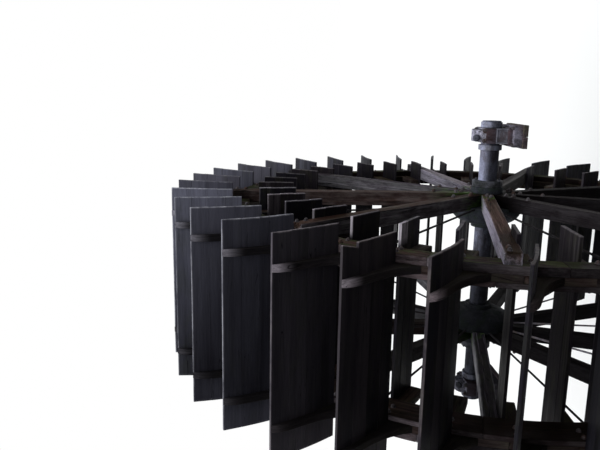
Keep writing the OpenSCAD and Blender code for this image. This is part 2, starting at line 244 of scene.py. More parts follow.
# Profiles of (distance along, radius), in sizes of the bolt, and how many sides each has
boltProfiles = {
    "nut": (([(-0.0005, 1.25), (0.16, 1.25), (0.2, 1.18)], 14),
            ([(0.18, 0.9), (0.24, 1), (0.92, 1), (1.02, 0.86)], 6),
            ([(1, 0.52), (1.35, 0.52), (1.42, 0.44)], 10)),
    "dome": (([(-0.0005, 1), (0.2, 0.97), (0.42, 0.72), (0.52, 0.3)], 8),)}


def boltGroups(base, axis, size, rng, head="nut"):
    # Washer, six-sided nut and the stub of the bolt, or a domed head, standing on base along axis. A first
    # distance below zero is in metres: it sinks the bolt into the face by that much
    base = np.atleast_2d(np.array(base, float))
    twist = rng.uniform(0, 2, len(base))
    return [tubeGroup(turnedRings(base, axis, [(at if at < 0 else at * size, r * size) for at, r in profile], n, twist))
            for profile, n in boltProfiles[head]]


class paintTree:
    # A node tree with short calls for the nodes that the looks are made of
    def __init__(self, tree):
        self.tree = tree

    def put(self, node, key, value):
        if isinstance(value, bpy.types.NodeSocket):
            self.tree.links.new(value, node.inputs[key])
        else:
            node.inputs[key].default_value = value

    def add(self, kind, inputs=None, **settings):
        node = self.tree.nodes.new("ShaderNode" + kind)
        for key, value in settings.items():
            setattr(node, key, value)
        for key, value in (inputs or {}).items():
            self.put(node, key, value)
        return node

    def maths(self, operation, a, b=0.0, clamp=False):
        return self.add("Math", {0: a, 1: b}, operation=operation, use_clamp=clamp).outputs[0]

    def plus(self, a, b, clamp=False):
        return self.maths("ADD", a, b, clamp)

    def minus(self, a, b):
        return self.maths("SUBTRACT", a, b)

    def times(self, a, b):
        return self.maths("MULTIPLY", a, b)

    def span(self, value, low, high, toLow=0.0, toHigh=1.0):
        return self.add("MapRange", {"Value": value, "From Min": low, "From Max": high,
                                     "To Min": toLow, "To Max": toHigh}, clamp=True).outputs[0]

    def mix(self, amount, a, b, blend="MIX"):
        a, b = (value if isinstance(value, bpy.types.NodeSocket) else (*value, 1.0) for value in (a, b))
        return self.add("Mix", {0: amount, 6: a, 7: b}, data_type="RGBA", blend_type=blend).outputs[2]

    def shaded(self, colour, shade):
        return self.mix(1.0, colour, self.add("CombineColor", {0: shade, 1: shade, 2: shade}).outputs[0], "MULTIPLY")

    def noise(self, place, scale, detail=1.0, rough=0.55, distortion=0.0):
        moved = self.add("Mapping", {"Vector": place, "Scale": scale}, vector_type="POINT").outputs[0]
        return self.add("TexNoise", {"Vector": moved, "Scale": 1.0, "Detail": detail,
                                     "Roughness": rough, "Distortion": distortion}).outputs[0]

    def dress(self, shader, colour, rough, height, distance, strength):
        bump = self.add("Bump", {"Height": height, "Distance": distance, "Strength": strength}).outputs[0]
        for key, value in (("Normal", bump), ("Base Color", colour), ("Roughness", rough)):
            self.put(shader, key, value)


def startMaterial(name, constants):
    material = bpy.data.materials.new(name)
    material.use_nodes = True
    shader = material.node_tree.nodes["Principled BSDF"]
    for socket, value in constants.items():
        shader.inputs[socket].default_value = value
    return material, shader, paintTree(material.node_tree)


def woodMaterial(name, look):
    # Grain runs along the first axis of the piece's own grain coordinates, so an end cut shows as spots
    look = {**woodCommon, **look}
    material, shader, paint = startMaterial(name, {"Specular IOR Level": look["specular"]})
    plus, minus, times, span, mix, noise = (
        getattr(paint, call) for call in ("plus", "minus", "times", "span", "mix", "noise"))
    place = paint.add("Attribute", attribute_name="grain").outputs["Vector"]
    given = paint.add("Attribute", attribute_name="finishAndLight")
    finishAndLight = paint.add("SeparateColor", {0: given.outputs["Color"]})
    tone = minus(times(finishAndLight.outputs[0], 1.4), 0.4)
    wear, moss, hue = finishAndLight.outputs[1], finishAndLight.outputs[2], given.outputs["Alpha"]
    broad = noise(place, (0.5, 5, 5), 3.0)
    bands = noise(place, (0.8, 24, 24), 6.0, 0.62, 0.35)
    fibre = noise(place, (5, 130, 130), 5.0, 0.7)
    patches = noise(place, (3.5, 8, 8), 6.0, 0.65)
    blend = plus(tone, span(bands, 0.38, 0.62, -look["bandShare"], look["bandShare"]))
    blend = plus(blend, span(broad, 0.35, 0.65, -0.12, 0.12), True)
    colour = mix(hue, mix(blend, look["dark"], look["light"]), mix(blend, look["warmDark"], look["warmLight"]))
    colour = mix(span(patches, 0.54, 0.68, 0, look["stain"]), colour, look["stainColour"])
    worn = mix(span(bands, 0.35, 0.65), [c * 0.55 for c in look["worn"]], look["worn"])
    worn = mix(hue, worn, mix(1.0, worn, (1.0, 0.82, 0.76), "MULTIPLY"))
    colour = mix(times(wear, span(patches, 0.4, 0.58, look["wearLow"], 1)), colour, worn)
    colour = mix(times(moss, span(patches, 0.46, 0.56)), colour, look["moss"])
    fleck = span(fibre, 0.3, 0.7, 1 - look["fleck"], 1 + look["fleck"])
    # Tones below -0.1 darken further: partly soaked wood, partly painted shade on the pieces given low tones because
    # they stand in shade
    colour = paint.shaded(colour, times(fleck, span(tone, -0.4, -0.1, look["soakedAndShade"], 1)))
    # Drying cracks: the thin band where a stretched noise passes its middle value, kept in some places only
    split = paint.maths("ABSOLUTE", minus(noise(place, (0.6, 17, 17)), 0.5))
    crack = times(span(split, 0.0, look["crackWidth"], 1, 0), span(noise(place, (1.1, 9, 9)), 0.46, 0.56))
    colour = mix(times(crack, 0.85), colour, [c * 0.2 for c in look["dark"]])
    height = plus(times(fibre, look["fibreHeight"]), times(bands, look["bandHeight"]))
    height = minus(height, times(crack, look["crackDepth"]))
    height = plus(height, times(patches, look["patchHeight"]))
    dry = span(plus(broad, times(wear, 0.3)), 0.35, 0.75, *look["rough"])
    paint.dress(shader, colour, dry, height, 1.0, look["bump"])
    return material


woodCommon = {"stain": 0.4, "wearLow": 0.3, "soakedAndShade": 0.35, "stainColour": (0.02, 0.014, 0.01),
              "worn": (0.4, 0.38, 0.39), "moss": (0.06, 0.07, 0.03), "fleck": 0.35, "bandShare": 0.35,
              "crackWidth": 0.01, "fibreHeight": 0.0015, "bandHeight": 0.004, "crackDepth": 0.008,
              "patchHeight": 0.002, "bump": 0.8, "rough": (0.5, 0.85), "specular": 0.015}
woodLooks = {
    "paddle": {"dark": (0.019, 0.0174, 0.0222), "light": (0.2, 0.2, 0.245), "warmDark": (0.0202, 0.0182, 0.0235),
               "warmLight": (0.18, 0.15, 0.155), "stain": 0.15, "stainColour": (0.065, 0.06, 0.06),
               "wearLow": 0.25, "worn": (0.95, 0.95, 1.0), "bandShare": 0.03, "fleck": 0.2, "crackWidth": 0.004,
               "fibreHeight": 0.001, "bandHeight": 0.002, "crackDepth": 0.003, "patchHeight": 0.001, "bump": 0.6,
               "rough": (0.35, 0.6)},
    "innerBoard": {"dark": (0.0205, 0.0185, 0.0245), "light": (0.28, 0.25, 0.27), "warmDark": (0.028, 0.018, 0.015),
                   "warmLight": (0.2, 0.15, 0.12), "stain": 0.3, "stainColour": (0.06, 0.05, 0.035),
                   "worn": (1.0, 0.93, 0.98), "wearLow": 0.6, "bandShare": 0.12, "crackWidth": 0.006,
                   "fibreHeight": 0.001, "bandHeight": 0.002, "crackDepth": 0.003, "rough": (0.4, 0.7)},
    "start": {"dark": (0.02, 0.017, 0.019), "light": (0.1, 0.085, 0.085), "warmDark": (0.03, 0.018, 0.014),
              "warmLight": (0.13, 0.08, 0.062), "worn": (0.4, 0.37, 0.37), "moss": (0.05, 0.06, 0.02)},
    "knee": {"dark": (0.02, 0.018, 0.02), "light": (0.09, 0.082, 0.085), "warmDark": (0.022, 0.017, 0.016),
             "warmLight": (0.1, 0.07, 0.06), "stain": 0.3, "worn": (0.9, 0.86, 0.94), "wearLow": 0.7,
             "moss": (0.05, 0.06, 0.02)},
    "ring": {"dark": (0.02, 0.016, 0.016), "light": (0.15, 0.125, 0.12), "warmDark": (0.04, 0.022, 0.018),
             "warmLight": (0.19, 0.1, 0.075), "worn": (0.4, 0.37, 0.4), "fleck": 0.5, "specular": 0.02},
    "block": {"dark": (0.02, 0.016, 0.014), "light": (0.09, 0.075, 0.065), "warmDark": (0.035, 0.016, 0.012),
              "warmLight": (0.13, 0.065, 0.045), "worn": (0.22, 0.18, 0.17), "moss": (0.05, 0.06, 0.02),
              "fleck": 0.4, "specular": 0.02},
    "arm": {"dark": (0.02, 0.0165, 0.0195), "light": (0.36, 0.315, 0.385), "warmDark": (0.042, 0.02, 0.014),
            "warmLight": (0.28, 0.16, 0.105), "stain": 0.3, "stainColour": (0.045, 0.03, 0.025),
            "worn": (0.62, 0.6, 0.62), "moss": (0.07, 0.13, 0.03), "fleck": 0.55, "bandShare": 0.32,
            "soakedAndShade": 0.15, "crackWidth": 0.018, "bandHeight": 0.007, "crackDepth": 0.014, "bump": 0.9,
            "specular": 0.02},
    "bed": {"dark": (0.036, 0.028, 0.032), "light": (0.15, 0.12, 0.14), "warmDark": (0.05, 0.03, 0.025),
            "warmLight": (0.22, 0.15, 0.12), "stainColour": (0.06, 0.04, 0.032), "moss": (0.1, 0.11, 0.04),
            "rough": (0.6, 0.9), "specular": 0.03}}
woods = {key: woodMaterial(key + "Wood", look) for key, look in woodLooks.items()}

# Metals: two tones broken up by noise, rust or moss in patches, and painted shade or light where the looks name it:
# painted shade inside the wheel, darkest about shadeX, painted shade on the left bearing, and painted light on the low
# rods
paintedShading = {"shadeX": -2.35, "wheelShade": (0.5, 1.35), "leftBearingShade": (-3.1, -2.7), "lowRodLight": (-0.3, 0.2)}
metalCommon = {"rustShare": 0.5, "speck": 0.4, "rough": (0.6, 0.9), "bump": 0.002, "specular": 0.03, "leftBearingShade": 0.2}
metalLooks = {
    "shaftPaint": {"base": (0.5, 0.52, 0.68), "second": (0.13, 0.13, 0.155), "rust": (0.1, 0.07, 0.055), "wheelShade": 0.1,
                   "lowerHalfShade": (0.39, 0.46, 0.2), "rustShare": 0.4, "size": (2.2, 9, 9), "rough": (0.4, 0.7),
                   "bump": 0.0006, "specular": 0.05},
    "collarPaint": {"base": (0.5, 0.52, 0.66), "second": (0.24, 0.24, 0.27), "rust": (0.14, 0.1, 0.08),
                    "lowerHalfShade": (0.39, 0.41, 0.4), "rustShare": 0.3, "size": (11, 11, 11), "rough": (0.4, 0.7),
                    "bump": 0.0006, "specular": 0.05},
    "hubIron": {"base": (0.056, 0.059, 0.068), "second": (0.029, 0.031, 0.037), "rust": (0.038, 0.054, 0.034),
                "wheelShade": 0.3, "leftBearingShade": 1.0, "size": (9, 9, 9), "rough": (0.5, 0.85), "bump": 0.0015},
    "lockIron": {"base": (0.16, 0.16, 0.18), "second": (0.03, 0.03, 0.035), "rust": (0.035, 0.04, 0.03),
                 "wheelShade": 0.35, "leftBearingShade": 1.0, "size": (12, 12, 12), "rough": (0.5, 0.85), "bump": 0.0015},
    "rodSteel": {"base": (0.03, 0.027, 0.029), "second": (0.014, 0.013, 0.014), "rust": (0.034, 0.026, 0.022),
                 "lowRodLight": 15.0, "leftBearingShade": 1.0, "size": (20, 20, 20), "rough": (0.5, 0.8), "bump": 0.0008,
                 "specular": 0.02},
    "boltSteel": {"base": (0.16, 0.145, 0.15), "second": (0.05, 0.042, 0.042), "rust": (0.1, 0.05, 0.03),
                  "rustShare": 0.7, "size": (26, 26, 26), "rough": (0.45, 0.8), "bump": 0.0006, "specular": 0.05},
    "coverIron": {"base": (0.1, 0.105, 0.125), "second": (0.04, 0.04, 0.05), "rust": (0.06, 0.05, 0.045),
                  "size": (26, 26, 26), "rough": (0.5, 0.8), "bump": 0.0008, "specular": 0.05},
    "capIron": {"base": (0.58, 0.56, 0.66), "second": (0.12, 0.115, 0.125), "rust": (0.06, 0.055, 0.045),
                "speck": 0.65, "rustShare": 0.6, "size": (26, 26, 26), "bump": 0.003},
    "flangeIron": {"base": (0.17, 0.14, 0.165), "second": (0.07, 0.045, 0.045), "rust": (0.12, 0.06, 0.05),
                   "size": (14, 14, 5)},
    "blockIron": {"base": (0.36, 0.35, 0.4), "second": (0.15, 0.15, 0.165), "rust": (0.1, 0.065, 0.06),
                  "rustShare": 0.6, "size": (10, 10, 5)},
    "shadedSideIron": {"base": (0.11, 0.11, 0.125), "second": (0.04, 0.045, 0.04), "rust": (0.04, 0.05, 0.025),
                 "size": (12, 12, 8)},
    "soleIron": {"base": (0.34, 0.32, 0.38), "second": (0.09, 0.08, 0.09), "rust": (0.16, 0.11, 0.1),
                 "speck": 0.55, "size": (12, 12, 6), "bump": 0.003}}


def metalMaterial(name, look):
    look = {**metalCommon, **look}
    material, shader, paint = startMaterial(name, {"Specular IOR Level": look["specular"]})
    plus, times, span, mix, noise = (getattr(paint, call) for call in ("plus", "times", "span", "mix", "noise"))
    place = paint.add("TexCoord").outputs["Object"]
    broad = noise(place, look["size"], 5.0, 0.62)
    fine = noise(place, (90, 90, 90), 4.0, 0.7)
    patches = noise(place, (7, 7, 7), 6.0, 0.65, 0.3)
    colour = mix(span(broad, 0.36, 0.62), look["second"], look["base"])
    colour = mix(span(patches, 0.5, 0.6, 0, look["rustShare"]), colour, look["rust"])
    shade = span(fine, 0.3, 0.7, 1 - look["speck"], 1 + look["speck"])
    parts = paint.add("SeparateXYZ", {0: place}).outputs
    away = paint.maths("ABSOLUTE", plus(parts[0], -paintedShading["shadeX"]))
    # Painted shade inside the wheel and on the left bearing, and painted light on the low rods
    for stain, at in (("wheelShade", away), ("leftBearingShade", parts[0]), ("lowRodLight", parts[2])):
        if stain in look:
            shade = times(shade, span(at, *paintedShading[stain], look[stain], 1))
    if "lowerHalfShade" in look:
        # Painted shade: below this height the shaft and its collars are darker, with a wavy edge, so the upper half
        # stays a lit band
        z = plus(parts[2], span(patches, 0.4, 0.6, -0.008, 0.008))
        shade = times(shade, span(z, *look["lowerHalfShade"], 1))
    height = plus(fine, times(patches, 2.0))
    paint.dress(shader, paint.shaded(colour, shade), span(patches, 0.4, 0.6, *look["rough"]), height, look["bump"], 1.0)
    return material


metals = {key: metalMaterial(key, look) for key, look in metalLooks.items()}
print("stage: materials")

# Paddles and inner boards: planks with cut corners, a little wavy, set edge to edge

planks = {"bevel": 0.002, "lip": 0.014, "gap": 0.0014, "stations": 34, "wave": 0.001, "bow": 0.0018, "endCut": 0.0015,
          "endPlay": 0.004, "paddleRows": 4, "innerRows": 3, "tipRough": 0.0025, "joint": 0.3,
          # tone, warmth, painted sky sheen towards the right end and wear of the tip for the paddles of the front, from
          # the top. The tone falls from the top paddle down, partly painted light where the sky falls on the upper
          # ones, and the tip wear is partly painted sky light on the tips
          "front": ((0.56, 0.0, 0.6, 1.0), (0.46, 0.0, 0.48, 0.72), (0.33, 0.1, 0.34, 0.7), (0.29, 0.1, 0.2, 0.42),
                    (0.25, 0.7, 0.12, 0.12), (0.2, 1.0, 0.1, 0.0), (0.02, 1.0, 0.05, 0.12), (-0.05, 1.0, 0.02, 0.0)),
          # tone of the last paddles, at the back below the top
          "rearTop": (0.05, 0.12, 0.2, 0.3, 0.4, 0.4, 0.4),
          # lowest and highest tone, warmth, painted sheen and wear of all other paddles, and of the inner boards
          "others": ((-0.05, 0.08), (0, 0.3), (0, 0.08), (0.03, 0.15)),
          "inner": ((-0.36, -0.12), (0, 0.3), 0.05, (0.02, 0.08)),
          # painted light: how much lighter the front ones get towards the left end, where the open side lights them,
          # and wear of the arris at the right end, partly a painted highlight
          "frontLeftLight": (0.12, 0.2, 0.25, 0.4, 0.4, 0.15, 0.0, 0.0),
          "frontEndsWearAndLight": (0.9, 0.9, 0.85, 0.8, 0.36, 0.22, 0.22, 0.1), "ends": 0.2,
          # paddle whose tip plank is sawn askew at the right end, how much shorter it is there, and from how far
          "askew": (5, 0.045, 0.15),
          # wear of the inner boards' outer edges past the right ring, from the top, and the board bleached there
          "innerEdges": (0.2, 0.25, 0.25, 0.25, 0.7), "pastRing": 0.86, "bleached": 5,
          # paddle, from s to s at the tip, and how deep the edge is broken away there
          "broken": ((7, 0.66, 1.06, 0.05), (11, -0.3, 0.1, 0.03),
                     (17, 0.5, 1.06, 0.045), (24, -1.06, -0.7, 0.05), (31, 0.1, 0.4, 0.02))}


def plankRings(rng, t0, z0, t1, z1, which, tipRow, looks, isPaddle):
    # Each plank lies between two lines along the shaft, (t0, z0) and (t1, z1) in the frame of paddle which
    pieces, half = len(t0), wheel["width"] / 2
    section = roundedSection(planks["bevel"], planks["lip"])
    width = np.hypot(t1 - t0, z1 - z0)[:, None, None]
    runT, runZ = (t1 - t0)[:, None, None] / width, (z1 - z0)[:, None, None] / width
    x = np.concatenate([[-half, -half + 0.002, -half + 0.03],
                        np.linspace(-half, half, planks["stations"] - 4)[1:-1], [half - 0.012, half - 0.002, half]])
    onTip = (section[:, 0] > 0.5) & tipRow[:, None, None]
    bevel = np.where(onTip | (section[:, 4] == 0), 1.0, planks["joint"])
    across, through = fromSection(section, width - planks["gap"], board * runZ,
                                  endsOnly(len(x), planks["endCut"], planks["endCut"]), bevel)
    worn = np.abs(ripple(rng, pieces, x, planks["tipRough"], 6, 40.0))
    for paddle, low, high, deep in planks["broken"]:
        f = np.clip((x - low) / (high - low), 0, 1)
        ragged = deep * np.sqrt(np.clip(4 * f * (1 - f), 0, 1) if high < half else f) * rng.uniform(0.45, 1, len(x))
        worn = worn + ragged * (isPaddle & tipRow & (which == paddle))[:, None]
    across = across + ripple(rng, pieces, x, planks["wave"])[:, :, None] - onTip * worn[:, :, None]
    through = through + ripple(rng, pieces, x, planks["bow"], 3, 2.5)[:, :, None]
    play = rng.uniform(0, planks["endPlay"], (pieces, 2))
    place = x * (1 - play.sum(1)[:, None] / wheel["width"]) + (play[:, :1] - play[:, 1:]) / 2
    t = (t0 + t1)[:, None, None] / 2 + across * runT + through * runZ
    z = (z0 + z1)[:, None, None] / 2 + across * runZ - through * runT
    paddle, shorter, reach = planks["askew"]
    short = shorter * (isPaddle & tipRow & (which == paddle))[:, None, None] * (0.5 - across / width)
    s = place[:, :, None] - short * np.clip((x - half + reach) / reach, 0, 1)[:, None]
    grain = grainOf(rng, pieces, s, across, through)
    # The tone gets a painted sheen, lighter and bluer towards the right end, and the tip wear is partly painted light
    tone, hue, paintedSheen, tipWearAndLight = looks.T[:, :, None, None]
    wear = onTip * section[:, 4] * tipWearAndLight * np.ones_like(across)
    wear[:, [0, 1]] = np.maximum(wear[:, [0, 1]], 0.15 * tipWearAndLight)
    # The right arris's wear is partly a painted highlight, and the front paddles get painted light towards their left
    # ends
    wear[:, [-2, -1]] = np.maximum(wear[:, [-2, -1]], perPaddle(planks["frontEndsWearAndLight"], planks["ends"])[which])
    tone = (tone + paintedSheen * (s / half) + eachPiece(rng, -0.03, 0.03, pieces)
            + perPaddle(planks["frontLeftLight"])[which] * np.clip((-s / half - 0.6) / 0.3, 0, 1))
    finishAndLight = finishAndLightValues(t.shape, tone, wear, eachPiece(rng, 0, 0.15, pieces), hue)
    return inWheel(s, t, z, paddleAngles[which][:, None, None]), grain, finishAndLight


def randomLooks(rng, ranges):
    # A column for each range, with one value per paddle; a single number is the same for all of them
    return np.stack([np.full(count, v) if np.isscalar(v) else rng.uniform(*v, count) for v in ranges], -1)


def makePaddles():
    rng = np.random.default_rng(11)
    rows = planks["paddleRows"]
    steps = rootZ + (tipRadius - rootZ) * np.arange(rows + 1) / rows
    which, row = np.divmod(np.arange(count * rows), rows)
    z0, z1 = steps[row], steps[row + 1]
    looks = randomLooks(rng, planks["others"])
    looks[-len(planks["rearTop"]):, 0] = planks["rearTop"]
    looks[:len(planks["front"])] = planks["front"]
    group = tubeGroup(*plankRings(rng, paddleT(z0), z0, paddleT(z1), z1, which, row == rows - 1, looks[which], True))
    piece = buildPiece("paddleBoards", [group], woods["paddle"], "wheel")
    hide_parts(*[f"paddles_{k + 1}" for k in range(bays)])


def makeInnerBoards():
    rng = np.random.default_rng(12)
    rows = planks["innerRows"]
    top = math.sqrt((ringInner - seat) ** 2 - startIn ** 2)
    steps = wheel["boardInner"] + (top - wheel["boardInner"]) * np.arange(rows + 1) / rows
    which, row = np.divmod(np.arange(count * rows), rows)
    t = np.full(len(row), startIn - board / 2)
    looks = randomLooks(rng, planks["inner"])[which]
    looks[:, 0] += (row == rows - 1) * rng.uniform(0, 0.2, count)[which]
    isBleached = which == planks["bleached"]
    looks[isBleached, 0] = 0.0
    rings, grain, finishAndLight = plankRings(rng, t, steps[row + 1], t, steps[row], which, row == 0, looks, False)
    # Past the ring the outer edges are pale, and one whole plank is bleached
    past = (row == rows - 1)[:, None, None] & (rings[..., 0] > midX + planks["pastRing"])
    onEdge = np.hypot(rings[..., 1], rings[..., 2] - axisZ) > ringInner - 0.01
    pale = np.where(isBleached[:, None, None], 1.0, onEdge * perPaddle(planks["innerEdges"])[which])
    finishAndLight[..., 1] = np.maximum(finishAndLight[..., 1], past * pale)
    piece = buildPiece("innerBoards", [tubeGroup(rings, grain, finishAndLight)], woods["innerBoard"], "wheel")
    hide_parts(*[f"inner_boards_{k + 1}" for k in range(bays)])


makePaddles()
makeInnerBoards()
print("stage: paddles")

# Starts: a straight stem through the ring, and a knee that narrows by a cube law up to a round nose

starts = {"bevel": 0.006, "lip": 0.01, "kneeWidth": 0.235, "noseWidth": 0.058, "noseLength": 0.17,
          "noseRise": 0.006, "stations": 22, "stemAt": (2.6, 2.75, 2.9, 3.1, 3.24, 3.27), "kneeFront": 3.2767,
          "kneeBack": 3.2585, "shoulder": 0.74,
          # pale tops of the noses, partly wear and partly painted light where the sky falls on them, at the right for
          # the paddles of the front from the top, of the others, and at the left
          "frontNoseWearAndLight": (0.4, 0.4, 0.33, 0.42, 0.95, 1.0, 0.9, 0.1), "noseWearAndLight": 0.5, "leftNoseWearAndLight": 0.06,
          "noseHue": (0.0, 0.0, 0.1, 0.2, 0.5, 0.6, 0.9, 1.0)}


def startRings(rng, side, z0, z1, t0, t1, section, inset):
    # z0, t0 run along the front edge and z1, t1 along the back edge of each start, station by station
    middleT, middleZ = (t0 + t1) / 2, (z0 + z1) / 2
    width = np.hypot(t1 - t0, z1 - z0)[:, None]
    across, through = fromSection(section, width, core, inset)
    along = np.cumsum(np.concatenate([[0], np.hypot(np.diff(middleT), np.diff(middleZ))]))
    t = middleT[:, None] + across * ((t1 - t0)[:, None] / width)
    z = middleZ[:, None] + across * ((z1 - z0)[:, None] / width)
    s = side * (coreX + core / 2 + through + ripple(rng, count, along, 0.0015)[:, :, None])
    rings = inWheel(s, t, z, paddleAngles[:, None, None])
    return rings, grainOf(rng, count, along[:, None], across, through), along


def makeStarts(side, name):
    rng = np.random.default_rng(20 + side)
    section = roundedSection(starts["bevel"], starts["lip"])
    z = np.array([wheel["boardInner"], wheel["boardInner"] + 0.004, *starts["stemAt"]])
    rings, grain, along = startRings(rng, side, z, z, np.full(len(z), startIn), np.full(len(z), startOut), section,
                                     endsOnly(len(z), 0.004, 0))
    tone, hue = eachPiece(rng, -0.15, 0.35, count), eachPiece(rng, 0.3, 1.0, count)
    finishAndLight = finishAndLightValues(rings.shape[:3], tone, section[:, 4] * 0.2, 0.3, hue)
    stems = buildPiece(name + "Stems", [tubeGroup(rings, grain, finishAndLight)], woods["start"], "wheel")
    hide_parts("starts_" + name)
    low = starts["shoulder"]
    v = np.concatenate([np.linspace(0, low, starts["stations"] - 8),
                        1 - (1 - low - 0.02) * np.cos(np.radians(np.arange(10, 91, 10)))])
    top = tipRadius + starts["noseRise"]
    noseZ, kneeZ, noseWidth = top - starts["noseLength"], ringOuter - 0.03, starts["noseWidth"]
    frontZ, backZ = (begin + (top - begin) * v for begin in (starts["kneeFront"], starts["kneeBack"]))
    flare = (starts["kneeWidth"] - noseWidth) * np.clip((noseZ - backZ) / (noseZ - kneeZ), 0, 1) ** 3
    nose = np.sqrt(np.clip(1 - ((backZ - noseZ) / starts["noseLength"]) ** 2, 0.003, 1))
    frontT, backT = (paddleT(np.minimum(z, tipRadius)) + board / 2 for z in (frontZ, backZ))
    backT = backT + np.where(backZ < noseZ, noseWidth + flare, noseWidth * nose)
    rings, grain, along = startRings(rng, side, frontZ, backZ, frontT - 0.001, backT, section,
                                     endsOnly(len(v), 0, 0.002))
    height = (along / along[-1])[:, None]
    nose = perPaddle(starts["frontNoseWearAndLight"], starts["noseWearAndLight"]) if side > 0 else starts["leftNoseWearAndLight"]
    hue[:len(starts["noseHue"]), 0, 0] = starts["noseHue"]
    # The top of each nose is pale: partly wear, partly painted light from the sky above
    wear = (np.clip((height - low) / 0.2, 0, 1) ** 1.5 + section[:, 4] * 0.03) * nose
    finishAndLight = finishAndLightValues(rings.shape[:3], tone * 0.2 - 0.2, wear, 0.1 * (1 - height), hue)
    knees = buildPiece(name + "Knees", [tubeGroup(rings, grain, finishAndLight)], woods["knee"], "wheel")
    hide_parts("starts_" + name)


eachSide(makeStarts)
print("stage: starts")

# Rings: felloes sawn from straight planks, so the grain stays straight while the piece bends. They are darker
# at the back, where the sine of their angle is under rearSine, and in front lower down than lowFrom, which is painted
# shade

felloes = {"bevel": 0.004, "lip": 0.012, "gap": 0.003, "stations": 12, "endCut": 0.003, "rimWear": 0.8,
           "sideMoss": {"InnerPly": 0.1275, "OuterPly": 0.85}, "rearSine": 0.5, "rearDark": 0.4,
           "lowFrom": 62, "lowShade": 0.3}


def arcRings(rng, side, x0, x1, begin, end, section, cutEnds, depth):
    # begin and end are the angles of each segment's ends; cutEnds is half the width of what stands between
    # two segments, whose sides are parallel, so the end leans back by asin(width / radius)
    v = np.concatenate([[0, 0.004], np.linspace(0, 1, felloes["stations"])[1:-1], [0.996, 1]])
    across, through = fromSection(section, depth, x1 - x0, endsOnly(len(v), felloes["endCut"], felloes["endCut"]))
    radius = ringOuter - depth / 2 + across
    lean = np.degrees(np.arcsin(cutEnds / radius))
    begin, end = begin[:, None, None], end[:, None, None]
    angle = (begin + lean) * (1 - v[:, None]) + (end - lean) * v[:, None]
    s = side * ((x0 + x1) / 2 + through) + ripple(rng, len(begin), v * 6, 0.0006)[:, :, None]
    middle = np.radians(angle - (begin + end) / 2)
    grain = grainOf(rng, len(begin), radius * np.sin(middle), radius * np.cos(middle), through)
    return inWheel(s, 0.0, radius, angle), grain, angle


def makeRing(side, name):
    rng = np.random.default_rng(30 + side)
    section = roundedSection(felloes["bevel"], felloes["lip"], 2)
    onFace = (section[:, 2] > 0.9) & (section[:, 3] == 0)
    onRim = (section[:, 0] > 0.9) & (section[:, 1] == 0)
    for label, node, x0, x1, first, depth in (
            ("InnerPly", "ring_inner_ply_", wheel["plyFace"], innerPlyOut, 0, ringDepth),
            ("OuterPly", "ring_outer_ply_", outerPlyX, outerPlyOut, 1, wheel["outerPlyDepth"])):
        begin = gapAngles[first::2]
        rings, grain, angle = arcRings(rng, side, x0, x1, begin, begin + 2 * step, section, felloes["gap"] / 2, depth)
        isBack = (np.sin(np.radians(begin + step)) < felloes["rearSine"])[:, None, None]
        rear = felloes["rearDark"] * isBack
        # Painted shade on the low front of the ring, which also keeps its wear down
        low = felloes["lowShade"] * np.clip((angle % 360 - felloes["lowFrom"]) / 10, 0, 1)
        tone = eachPiece(rng, -0.1, 0.25, len(begin)) - np.maximum(rear, low)
        wear = np.where(onRim, felloes["rimWear"], section[:, 4] * 0.2) * (1 - rear) * (1 - 2 * low)
        moss = np.where(onFace, felloes["sideMoss"][label], 0.1)
        finishAndLight = finishAndLightValues(angle.shape, tone, wear, moss, eachPiece(rng, 0.2, 1, len(begin)))
        piece = buildPiece(name + label, [tubeGroup(rings, grain, finishAndLight)], woods["ring"], "wheel")
        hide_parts(node + name)
    centre = paddleAngles + math.degrees(math.asin(startMiddle / ringMiddle))
    rings, grain, angle = arcRings(rng, side, coreX, coreX + core, centre, centre + step, section,
                                   wheel["startWidth"] / 2 + 0.001, ringDepth)
    isBack = (np.sin(np.radians(centre)) < felloes["rearSine"])[:, None, None]
    tone = eachPiece(rng, -0.15, 0.25, count) - felloes["rearDark"] * isBack
    finishAndLight = finishAndLightValues(angle.shape, tone, np.where(onRim, 0.3, section[:, 4] * 0.2), 0.2,
                          eachPiece(rng, 0.1, 0.6, count))
    piece = buildPiece(name + "RingBlocks", [tubeGroup(rings, grain, finishAndLight)], woods["block"], "wheel")
    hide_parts("ring_blocks_" + name)


eachSide(makeRing)
print("stage: rings")

# Arms: squared timbers with a wedge foot round the hub's sleeve, thicker inboard between hub and ring

arms = {"bevel": 0.008, "lip": 0.012, "foot": 0.152, "footAt": (0.158, 0.175, 0.195, 0.215, 0.235, 0.3), "end": 3.27,
        "stations": 34, "lap": 0.025, "lapFrom": 0.448, "lapTo": 2.94,
        # how far each arm leans ahead, then tone and warmth of its faces and of its face away from the wheel. The tones
        # are partly painted light and shade: the top faces of the third arm and the outer side of the eighth are
        # lighter where the light falls, the low arms darker in shade
        "lean": (0, 0, 0.5, 0, 0, 0, 0, 0, 0),
        "faceTone": (-0.15, -0.06, 1.0, -0.27, -0.36, -0.4, -0.4, 0.48, 0.0),
        "faceHue": (1.0, 0.2, 0.0, 0.15, 0.1, 0.1, 0.1, 0.0, 0.1),
        "sideTone": (0.0, -0.14, 0.14, -0.3, -0.35, -0.4, -0.3, 1.0, 0.1),
        "sideHue": (0.8, 0.9, 0.8, 0.2, 0.2, 0.2, 0.2, 0.3, 0.1),
        # how the tone changes towards the end, darker mostly as painted shade where the boards shade the heads, and
        # where that begins on the faces away from the wheel
        "headTone": (-0.3, 0.3, -0.4, -0.1, -0.1, -0.1, -0.3, -0.3, -0.3),
        "headFrom": (2.95, 2.95, 2.4, 2.95, 2.95, 2.95, 2.95, 2.95, 2.95),
        "mossAt": (1, 1, 1, 0, 0, 0, 0, 1, 1), "leftShade": -0.08, "sideWearAndLight": (0, 0, 0, 0, 0, 0, 0, 0.9, 0)}


